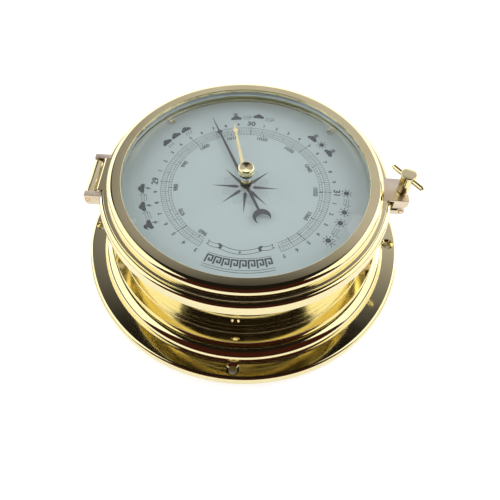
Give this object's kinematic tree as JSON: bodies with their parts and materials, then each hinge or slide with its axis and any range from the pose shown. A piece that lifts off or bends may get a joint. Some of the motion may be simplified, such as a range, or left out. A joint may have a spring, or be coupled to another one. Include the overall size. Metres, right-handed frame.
{
  "type": "marine barometer",
  "caption": "Aneroid barometer in a round flanged brass case, with a hinged glazed bezel, a swing bolt clasp, a set hand and a dial pointer.",
  "frame": {"origin": "centre of the mounting flange's back face", "axes": "+Z out through the glass, +Y towards 12 o'clock on the dial, +X towards the clasp at 3 o'clock"},
  "size_m": [0.178, 0.178, 0.0667],
  "materials": {
    "brass": "polished and lacquered",
    "plate_brass": "brushed",
    "glass": "clear, bevelled",
    "dial": "satin",
    "black": "satin",
    "gasket": "matt",
    "steel": "bright",
    "nickel": "satin"
  },
  "bodies": {
    "case": {"case_flange": "brass", "case_plinth": "brass", "case_drum": "brass", "dial_ledge": "brass", "case_rim": "brass", "back_cover": "plate_brass", "back_cover_screws": "brass", "hinge_lugs": "brass", "hinge_pin": "plate_brass", "clasp_bracket": "brass", "clasp_pin": "plate_brass", "dial_plate": "dial", "dial_screws": "brass", "dial_feet": "brass", "dial_foot_nuts": "steel", "hairspring": "steel", "hairspring_stud": "brass", "front_plate": "plate_brass", "plate_screws": "steel", "plate_pillars": "brass", "rear_plate": "plate_brass", "frame_pillars": "brass", "base_plate": "plate_brass", "frame_screws": "steel", "rocker_hangers": "brass", "aneroid_capsule": "nickel", "capsule_foot": "brass"},
    "bezel": {"bezel_ring": "brass", "hinge_barrel": "brass", "clasp_fork": "brass", "glass": "glass", "glass_gasket": "gasket", "glass_keeper_ring": "brass", "set_hand_bush": "brass"},
    "set_hand_group": {"set_hand_knob": "brass", "knob_washer": "black", "set_hand_spindle": "brass", "set_hand": "brass"},
    "bolt": {"swing_bolt": "brass"},
    "nut": {"clamp_nut": "brass", "cross_bar": "brass"},
    "pointer_group": {"pointer": "black", "pointer_hub": "black", "pointer_arbor": "steel", "hairspring_collet": "brass"},
    "sector": {"sector_gear": "brass", "sector_arbor": "steel", "sector_pin": "steel"},
    "rocker": {"rocker_shaft": "steel", "rocker_arm": "brass", "rocker_crank": "brass"},
    "link": {"capsule_link": "steel"},
    "adjuster": {"adjusting_screw": "steel"}
  },
  "joints": [
    {"name": "bezel_hinge", "type": "hinge", "parent": "case", "child": "bezel", "pos_m": [-0.0783, -0.0031, 0.0505], "axis": [0, -1, 0], "range_deg": [0, 180]},
    {"name": "swing_bolt_pivot", "type": "hinge", "parent": "case", "child": "bolt", "pos_m": [0.08, -0.0014, 0.0462], "axis": [0, 1, 0], "range_deg": [0, 150]},
    {"name": "clamp_nut_turn", "type": "hinge", "parent": "bolt", "child": "nut", "pos_m": [0.08, -0.0014, 0.0605], "axis": [0, 0, 1], "continuous": true},
    {"name": "set_hand_turn", "type": "hinge", "parent": "bezel", "child": "set_hand_group", "pos_m": [0, 0, 0.0552], "axis": [0, 0, 1], "continuous": true},
    {"name": "pointer_turn", "type": "hinge", "parent": "case", "child": "pointer_group", "pos_m": [0, 0, 0.035], "axis": [0, 0, 1], "range_deg": [-177.8, 128.2]},
    {"name": "sector_turn", "type": "hinge", "parent": "case", "child": "sector", "pos_m": [-0.02123, 0.004, 0.035], "axis": [0, 0, 1], "range_deg": [-16.1, 22.3]},
    {"name": "rocker_turn", "type": "hinge", "parent": "case", "child": "rocker", "pos_m": [0, 0.004, 0.0254], "axis": [1, 0, 0], "range_deg": [-15.6, 21.7]},
    {"name": "capsule_travel", "type": "slide", "parent": "case", "child": "link", "axis": [0, 0, 1], "range_m": [-0.00148, 0.00107], "deforming": ["aneroid_capsule"]},
    {"name": "adjuster_turn", "type": "hinge", "parent": "case", "child": "adjuster", "pos_m": [0, 0, 0.0106], "axis": [0, 0, 1], "range_deg": [-180, 180]}
  ],
  "couplings": [
    {"joint": "sector_turn", "follows": "pointer_turn", "ratio": -0.125},
    {"joint": "rocker_turn", "follows": "pointer_turn", "ratio": -0.12125},
    {"joint": "capsule_travel", "follows": "pointer_turn", "m_per_rad": 0.000475}
  ]
}
